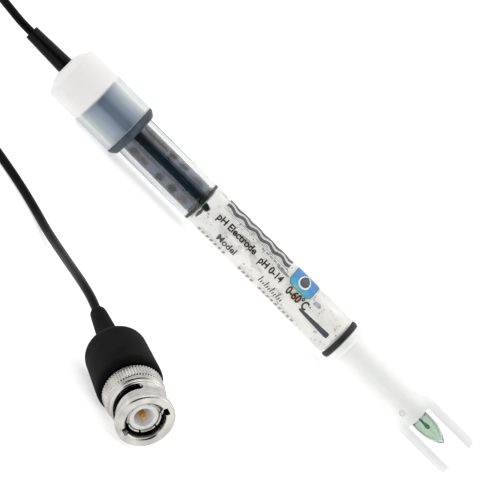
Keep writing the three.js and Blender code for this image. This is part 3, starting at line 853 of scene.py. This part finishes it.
def make_body():
    turned("body_tube", pipe_outline(TUBE_START, TUBE_END, TUBE_BORE, TUBE_RADIUS),
           "clear_plastic", PROBE, SIDES * 2, 0.25)
    make_core()
    turned("bulkhead", [
        [49.8, 2.2], [49.8, CORE_RADIUS], [50.2, CORE_RADIUS], [50.2, 3.75], [51.4, 3.75], [51.4, 2.2],
    ], "dark", PROBE)
    turned("bulkhead_oring", pipe_outline(50.25, 51.35, 3.8, CONTACT_RADIUS), "seal", PROBE, reach=0.3)
    turned("gel_fill", pipe_outline(GEL_START, GEL_END, 2.2, CONTACT_RADIUS), "cream_gel", PROBE, reach=0.2)
    make_reference()
    turned("guard_oring", [
        [101.75, 4.0], [101.75, 5.95], [102.5, 6.12], [103.3, 5.95], [103.3, 4.0],
    ], "seal", PROBE, reach=0.3)


def make_reference():
    wire = turned_mesh("wire", rod_outline(30.3, 88.5, 0.2), 24, 0)
    off_axis(wire, REFERENCE_OFFSET, REFERENCE_TURN)
    smooth(wire)
    stand_in("reference_wire", wire, "silver", PROBE)
    outline = [[88.6, 0], [88.6, 0.72], [89.6, 0.8], [98.9, 1.0], [99.4, 0.9], [99.4, 0]]
    element = turned_mesh("element", outline, FINE_SIDES, 0.2)
    off_axis(element, ELEMENT_OFFSET, REFERENCE_TURN)
    smooth(element)
    stand_in("reference_element", element, "navy_ceramic", PROBE)


# ---- print on the body

PRINT_RADIUS = 6.01
INK_THICKNESS = 0.02
WRAP_STEP = 0.3
LETTER_WEIGHT = 0.033  # thickens the letters


def wrapped(flat, lift=0.0):
    """Bends flat print, along X and up Y in millimetres, round the body, its middle line at the front."""
    bm = bmesh.new()
    bm.from_mesh(flat)
    rows = [v.co.y for v in bm.verts]
    cuts = int((max(rows) - min(rows)) / WRAP_STEP)
    for i in range(1, cuts + 1):
        everything = [*bm.verts, *bm.edges, *bm.faces]
        line = (0, min(rows) + i * WRAP_STEP, 0)
        bmesh.ops.bisect_plane(bm, geom=everything, plane_co=line, plane_no=(0, 1, 0), dist=1e-4)
    front, up = front_and_up()
    for vertex in bm.verts:
        along, height, depth = vertex.co
        radius = PRINT_RADIUS + lift + depth
        angle = height / TUBE_RADIUS
        point = front * math.cos(angle) * radius + up * math.sin(angle) * radius
        vertex.co = Vector((along, point.y, point.z)) * MM
    bmesh.ops.recalc_face_normals(bm, faces=bm.faces)
    mesh = finished(bm, "print")
    smooth(mesh)
    return mesh


def flat_print(outlines):
    """Thin raised plates, one for each outline of (x, y) points."""
    bm = bmesh.new()
    for outline in outlines:
        face = bm.faces.new([bm.verts.new((x, y, 0)) for x, y in outline])
        grown = bmesh.ops.extrude_face_region(bm, geom=[face])
        corners = [v for v in grown["geom"] if isinstance(v, bmesh.types.BMVert)]
        bmesh.ops.translate(bm, vec=(0, 0, INK_THICKNESS), verts=corners)
    bmesh.ops.triangulate(bm, faces=bm.faces)
    return finished(bm, "flat_print")


def flat_text(words, left, right, low, high):
    """Lettering stretched to fill a box, in millimetres."""
    data = bpy.data.curves.new("words", "FONT")
    data.body = words
    data.offset = LETTER_WEIGHT
    data.resolution_u = 6
    data.extrude = INK_THICKNESS / 2
    writing = new_object("words", data)
    ready = writing.evaluated_get(bpy.context.evaluated_depsgraph_get())
    mesh = bpy.data.meshes.new_from_object(ready)
    bpy.data.objects.remove(writing)
    places = [v.co.copy() for v in mesh.vertices]
    least = Vector([min(p[i] for p in places) for i in range(3)])
    most = Vector([max(p[i] for p in places) for i in range(3)])
    wide = (right - left) / (most.x - least.x)
    tall = (high - low) / (most.y - least.y)
    for vertex in mesh.vertices:
        offset = vertex.co - least
        vertex.co = (left + offset.x * wide, low + offset.y * tall, offset.z)
    return mesh


def bar(left, right, low, high, lean=0.0):
    shift = lean * (high - low)
    return [(left, low), (right, low), (right + shift, high), (left + shift, high)]


def ribbon(left, right, middle, height, width, waves, steps=72):
    """Outline of a wavy band."""
    upper = []
    lower = []
    for i in range(steps + 1):
        share = i / steps
        x = left + (right - left) * share
        y = middle + height * math.sin(2 * math.pi * waves * share)
        upper.append((x, y + width / 2))
        lower.append((x, y - width / 2))
    return lower + upper[::-1]


def rounded_box(left, right, low, high, corner, steps=6):
    outline = []
    centres = [(right - corner, low + corner, -90), (right - corner, high - corner, 0),
               (left + corner, high - corner, 90), (left + corner, low + corner, 180)]
    for x, y, start in centres:
        for i in range(steps + 1):
            angle = math.radians(start + 90 * i / steps)
            outline.append((x + corner * math.cos(angle), y + corner * math.sin(angle)))
    return outline


def drop_outline(x, y, radius, steps=28):
    """A water drop whose point is up."""
    outline = []
    for i in range(steps):
        angle = 2 * math.pi * i / steps
        width = radius * math.sin(angle) * math.sin(angle / 2)
        outline.append((x + width, y + 1.25 * radius * math.cos(angle)))
    return outline


def arc_height(drop):
    """Height on the wrapped print of a line seen drop mm below the axis."""
    return -TUBE_RADIUS * math.asin(drop / TUBE_RADIUS)


def print_piece(name, flat, material, lift=0.0):
    place(name, wrapped(flat, lift), material, PROBE)


# name, words, left and right ends, then how far the lower and upper edges are seen below the axis
PRINTED_WORDS = [
    ("name", "pH Electrode", 56.3, 70.2, 0.95, -1.7, "ink"),
    ("ph_range", "pH 0-14", 72.1, 80.3, 1.4, -1.3, "ink"),
    ("temperature_range", "0-60°C", 82.7, 90.1, 1.4, -1.2, "ink"),
    ("model", "Model", 60.0, 66.5, 4.2, 2.4, "grey_ink"),
]


def make_print():
    low, high = arc_height(-3.5), arc_height(-5.9)
    step = (high - low) / 2
    waves = [ribbon(56, 79.3, low + step * (i + 0.5), 0.2 * step, 0.55 * step, 5) for i in range(2)]
    print_piece("print_waves", flat_print(waves), "grey_ink")
    line = arc_height(-3.15)
    fine_words = [bar(x, x + 1.1, line - 0.9, line - 0.4, 0.2) for x in (70.6, 72.0, 73.4, 74.8, 76.2, 77.6)]
    print_piece("print_underline", flat_print([bar(55.7, 79.5, line, line + 0.14), *fine_words]), "pale_ink")
    for name, words, left, right, below, above, ink in PRINTED_WORDS:
        writing = flat_text(words, left, right, arc_height(below), arc_height(above))
        print_piece(f"print_{name}", writing, ink)
    ticks = [bar(75.6 + 0.72 * i, 75.95 + 0.72 * i, arc_height(4.2), arc_height(3.4 if i % 3 else 2.4), 0.12)
             for i in range(12)]
    print_piece("print_scale", flat_print(ticks), "grey_ink")
    faint = [bar(54.6 + 1.5 * i, 55.5 + 1.5 * i, arc_height(5.7), arc_height(5.1), 0.2)
             for i in range(24) if i not in (7, 8, 9, 14)]
    print_piece("print_fine_row", flat_print(faint), "pale_ink")
    make_emblem()


def make_emblem():
    """A water drop on a blue patch with rounded corners."""
    left, right = 81.2, 89.1
    low, high = arc_height(-1.2), arc_height(-1.2) + 8.2
    middle = (left + right) / 2
    rim = 0.16
    print_piece("emblem_rim", flat_print([rounded_box(left, right, low, high, 1.7)]), "grey_ink")
    inside = rounded_box(left + rim, right - rim, low + rim, high - rim, 1.6)
    print_piece("emblem_patch", flat_print([inside]), "blue_ink", INK_THICKNESS)
    print_piece("emblem_drop_edge", flat_print([drop_outline(middle, low + 4.0, 2.3)]), "white_ink",
                2 * INK_THICKNESS)
    print_piece("emblem_drop", flat_print([drop_outline(middle, low + 3.95, 1.8)]), "grey_ink",
                3 * INK_THICKNESS)


# ---- sensing tip and guard


def spear_line(radius, start, length, steps=24, taper=3.1):
    return [[start + length * i / steps, radius * (1 - (i / steps) ** taper)] for i in range(steps + 1)]


def make_spear():
    outside = spear_line(SPEAR_RADIUS, SPEAR_START, SPEAR_LENGTH)
    inside = spear_line(SPEAR_RADIUS - SPEAR_WALL, SPEAR_START, SPEAR_LENGTH - 3 * SPEAR_WALL)
    turned("spear_membrane", outside + inside[::-1], "green_glass", PROBE, 64, 0)


def make_guard():
    collar = 3.7
    outline = [
        [99.9, 2.9], [99.9, 4.6], [101.15, 4.6], [101.15, collar], [COLLAR_START, collar],
        [COLLAR_START, 6.0],
        [105.0, 6.0], [105.8, 5.05], [126, 5.05], [128.2, 5.5], [130.5, 6.1], [FORK_START, 6.2],
        [144.7, 6.25], [146.7, 6.1], [PROBE_TIP, 5.6], [144.7, 4.9], [FORK_START, 4.9], [FORK_START, 2.6],
        [129.2, 2.6], [129.2, 2.9],
    ]
    mesh = turned_mesh("guard", outline, SIDES, 0.25)
    fork = box_mesh((FORK_START, -9, -FORK_GAP / 2), (PROBE_TIP + 2, 9, FORK_GAP / 2), FORK_TURN)
    hole = pin_mesh(JUNCTION_ALONG, 1, 8, 0.85, JUNCTION_TURN)
    guard = stand_in("guard", cut(mesh, [fork, hole]), "white_plastic", PROBE)
    edge = guard.modifiers.new("edge", "BEVEL")
    edge.width = 0.22 * MM
    edge.segments = 3
    edge.limit_method = "ANGLE"
    edge.angle_limit = math.radians(50)


def make_tip():
    turned("glass_stem", [
        [STEM_START, STEM_BORE], [STEM_START, STEM_RADIUS], [129.6, STEM_RADIUS], [131, 2.25],
        [SPEAR_START - 0.1, 2.55], [SPEAR_START - 0.1, 1.9], [130.5, STEM_BORE],
    ], "clear_glass", PROBE, 64, 0.2)
    make_spear()
    turned("silver_element", [
        [41.6, 0], [41.6, 0.25], [132.6, 0.3], [133.4, 0.35], [134.3, 0.3], [135, 0.5], [135.6, 0.65],
        [136.1, 0.5], [136.4, 0.25], [136.45, 0],
    ], "silver", PROBE, FINE_SIDES, 0.1)
    turned("stem_seal", pipe_outline(127.2, 129, 2.0, 2.8), "black_rubber", PROBE, FINE_SIDES)
    make_guard()
    junction = pin_mesh(JUNCTION_ALONG, 3.2, 5.25, 0.75, JUNCTION_TURN)
    smooth(junction)
    stand_in("reference_junction", junction, "grey_ceramic", PROBE)


# ---- BNC plug


def track_point(share):
    """(along, angle) of the middle of the bayonet track, from its entry to its seat."""
    return -2.2 - 2.3 * math.sin(share * math.pi * 0.62), -TRACK_SWEEP * share


def track_cutter(entry, steps=24):
    """The swept slot that a socket's lug follows, round at both ends, cut through the nut's wall."""
    mean = NUT_NECK
    line = [track_point(i / steps) for i in range(steps + 1)]
    flat = [Vector((along, angle * mean)) for along, angle in line]
    start_way = (flat[0] - flat[1]).normalized()
    end_way = (flat[-1] - flat[-2]).normalized()
    shares = [0.999, 0.94, 0.8, 0.6, 0.35]
    halves = [TRACK_HALF_WIDTH * math.sqrt(1 - s * s) for s in shares]
    head = [(flat[0] + start_way * s * TRACK_HALF_WIDTH, h) for s, h in zip(shares, halves)]
    tail = [(flat[-1] + end_way * s * TRACK_HALF_WIDTH, h) for s, h in zip(shares[::-1], halves[::-1])]
    stations = head + [(p, TRACK_HALF_WIDTH) for p in flat] + tail
    way = [stations[min(i + 1, len(stations) - 1)][0] - stations[max(i - 1, 0)][0]
           for i in range(len(stations))]

    def fill(bm):
        sections = []
        for (centre, half), heading in zip(stations, way):
            side = Vector((-heading.y, heading.x)).normalized() * half
            corners = []
            for edge, radius in ((side, 4.2), (side, 8.5), (-side, 8.5), (-side, 4.2)):
                spot = centre + edge
                angle = spot.y / mean + entry
                corners.append(bm.verts.new((spot.x, radius * math.cos(angle), radius * math.sin(angle))))
            sections.append(corners)
        for near, far in zip(sections, sections[1:]):
            for i in range(4):
                j = (i + 1) % 4
                bm.faces.new((near[i], near[j], far[j], far[i]))
        bm.faces.new(sections[0])
        bm.faces.new(sections[-1])

    return solid_mesh("cutter", fill)


def knurl(along, radius, angle):
    """Straight rounded teeth on the nut's grip."""
    if radius < KNURL_RADIUS - 0.35 or along > -8.2:
        return along, radius
    wave = 0.5 - 0.5 * math.cos(KNURL_TEETH * angle)
    return along, radius - KNURL_DEPTH * wave


def make_nut():
    outline = [
        [NUT_FRONT, 5.35], [NUT_FRONT, 6.9], [NUT_FRONT - 0.35, NUT_FLANGE],
        [NUT_FRONT - 1.7, NUT_FLANGE], [NUT_FRONT - 2.2, NUT_NECK], [-5.6, NUT_NECK], [-5.9, 6.95],
        [-6.3, 6.95], [-6.5, 6.65], [-6.8, 6.65], [-7.0, 7.1], [-7.5, 7.1], [-7.7, 6.8],
        [-8.2, 6.8], [-8.45, KNURL_RADIUS], [-11.5, KNURL_RADIUS], [NUT_REAR, 7.1],
        [NUT_REAR, NUT_COUNTERBORE], [-8.2, NUT_COUNTERBORE], [-7.4, NUT_BORE],
        [NUT_FRONT - 0.3, NUT_BORE],
    ]
    mesh = turned_mesh("nut", outline, KNURL_TEETH * 6, 0.16, knurl)
    cutters = []
    for entry in (TRACK_ENTRY, TRACK_ENTRY + math.pi):
        cutters.append(track_cutter(entry))
        cutters.append(box_mesh((-3, 4.2, -TRACK_HALF_WIDTH), (NUT_FRONT + 1, 5.9, TRACK_HALF_WIDTH), entry))
    stand_in("coupling_nut", cut(mesh, cutters), "nut", PLUG, "coupling_nut")


def make_wave_spring():
    middle, sheet, rise, waves = -9.7, 0.2, 0.3, 3

    def shape(along, radius, angle):
        return along + rise * math.cos(waves * angle), radius

    outline = pipe_outline(middle - sheet / 2, middle + sheet / 2, 4.9, 5.6)
    spring = turned("wave_spring", outline, "steel", PLUG, SIDES, 0.03, shape=shape)
    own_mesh(spring)


def make_contacts():
    sleeve = turned_mesh("sleeve", [
        [-0.5, 3.85], [-0.5, 4.05], [-0.8, 4.25], [-8, 4.25], [-8, 3.75], [-0.8, 3.75],
    ], SIDES, 0.08)
    slots = [box_mesh((-5.5, -6, -0.25), (1, 6, 0.25), i * math.pi / 3) for i in range(3)]
    stand_in("contact_sleeve", cut(sleeve, slots), "sleeve", PLUG)
    turned("plug_insulator", [
        [-0.8, 2.5], [-0.8, 3.5], [-1.1, 3.7], [-11.7, 3.7], [-11.7, 0.95], [-5.2, 0.95], [-4.9, 1.4],
    ], "white_ptfe", PLUG, 96, 0.15)
    turned("centre_pin", [
        [-0.6, 0], [-0.65, 0.25], [-0.95, 0.5], [-1.5, 0.65], [-11.7, 0.65], [-11.7, 0],
    ], "gold", PLUG, FINE_SIDES, 0.1)


def make_boot():
    steps = 14
    outside = [
        [BOOT_START, 7.5], [-12.6, 7.8], [-13.3, 8.05], [-14.4, 8.1], [BOOT_SHOULDER, BOOT_REAR_RADIUS],
    ]
    for i in range(1, steps + 1):
        angle = math.pi / 2 * i / steps
        along = BOOT_SHOULDER + (BOOT_END - BOOT_SHOULDER) * math.sin(angle)
        outside.append([along, TAIL_BASE + (BOOT_REAR_RADIUS - TAIL_BASE) * math.cos(angle)])
    inside = [[BOOT_END, LEAD_HOLE], [-22.6, LEAD_HOLE], [-22.6, 3.6], [-16.9, 3.6], [-16.5, 4.9],
              [BOOT_START, 4.9]]
    turned("plug_boot", outside + inside, "boot", PLUG, reach=0.3)
    turned("plug_tail", [
        [BOOT_END, LEAD_HOLE], [BOOT_END, 2.95], [-41.8, 2.1], [-42.9, 2.0], [-43.5, 1.8],
        [TAIL_END, LEAD_HOLE],
    ], "boot", PLUG, FINE_SIDES * 2, 0.2)


def make_plug():
    make_nut()
    turned("nut_retaining_ring", pipe_outline(-11.3, -10.8, RING_INNER, RING_OUTER), "steel", PLUG,
           body="coupling_nut")
    turned("thrust_washer", pipe_outline(-10.6, -10.3, RING_INNER, RING_OUTER), "steel", PLUG,
           body="thrust_washer")
    make_wave_spring()
    turned("plug_body", [
        [-8.3, 3.75], [-8.3, 4.5], [-8.5, 5.7], [-9.1, 5.7], [-9.1, 4.5], [-16.2, 4.5], [-16.6, 2.2],
        [-21.5, 2.2], [-21.5, 1.2], [-12, 1.2], [-12, 3.75],
    ], "nickel", PLUG)
    make_contacts()
    turned("crimp_ferrule", pipe_outline(-22.2, -17, 2.5, 3.3), "nickel", PLUG, FINE_SIDES)
    make_boot()
    turned("plug_core_wire", rod_outline(-22.2, -12.3, 0.75), "polythene", PLUG, FINE_SIDES)
    turned("lead_end_in_plug", rod_outline(-43.5, -22.5, LEAD_RADIUS), "lead_jacket", PLUG, FINE_SIDES)


# ---- floor and light


def make_floor():
    paint = Paint("floor", Specular_IOR_Level=0.0, Emission_Strength=0.62)
    paint.shader.inputs["Emission Color"].default_value = (1, 1, 1, 1)
    cloud = paint.noise(300.0)
    paint.colour(paint.ramp(cloud, (0.3, "#c9c9c9"), (0.7, "#cccccc")))
    paint.rough(0.9)

    def fill(bm):
        bmesh.ops.create_grid(bm, x_segments=2, y_segments=2, size=6000)

    mesh = solid_mesh("floor", fill)
    mesh.materials.append(paint.material)
    new_object("floor", mesh)


def area_light(name, spot, size, power, aim=(0, -0.06, 0.0)):
    data = bpy.data.lights.new(name, "AREA")
    data.shape = "RECTANGLE"
    data.size, data.size_y = size
    data.energy = power
    light = new_object(name, data)
    way = Vector(aim) - Vector(spot)
    light.matrix_world = Matrix.Translation(spot) @ way.to_track_quat("-Z", "Y").to_matrix().to_4x4()


WORLD_LIGHT = 0.95
DARK_LIGHT = 0.03
DARK_CORE = 0.88  # cosines of the angles from the printed side where the dark is full and where it ends
DARK_EDGE = 0.6


def make_world():
    """White all round but dark towards the printed side, so that gloss has something to show."""
    world = bpy.data.worlds.new("studio")
    world.use_nodes = True
    bpy.context.scene.world = world
    tree = world.node_tree
    back = tree.nodes["Background"]
    coords = tree.nodes.new("ShaderNodeTexCoord")
    towards = tree.nodes.new("ShaderNodeVectorMath")
    towards.operation = "DOT_PRODUCT"
    towards.inputs[1].default_value = front_and_up()[0]
    light = tree.nodes.new("ShaderNodeMapRange")
    light.interpolation_type = "SMOOTHSTEP"
    tree.links.new(coords.outputs["Generated"], towards.inputs[0])
    tree.links.new(towards.outputs["Value"], light.inputs[0])
    for socket, number in zip(light.inputs[1:5], (DARK_CORE, DARK_EDGE, DARK_LIGHT, WORLD_LIGHT)):
        socket.default_value = number
    tree.links.new(light.outputs[0], back.inputs["Strength"])
    back.inputs["Color"].default_value = (1, 1, 1, 1)


def make_studio():
    make_floor()
    make_world()
    area_light("key", (-0.5, -0.6, 1.1), (0.9, 0.9), 2.8)
    area_light("fill", (0.8, -0.3, 0.7), (0.7, 0.7), 1.2)
    area_light("top", (0.1, 0.5, 1.2), (1.2, 0.6), 2.0)


# ---- assembly

bpy.context.scene.view_settings.view_transform = "Standard"
make_camera()
MATERIALS = make_materials()
lead = make_lead()
make_studio()
make_cap_end()
make_body()
make_print()
make_tip()
make_plug()

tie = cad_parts["lead_tie"]
tie.data.materials.clear()
tie.data.materials.append(MATERIALS["black_rubber"])
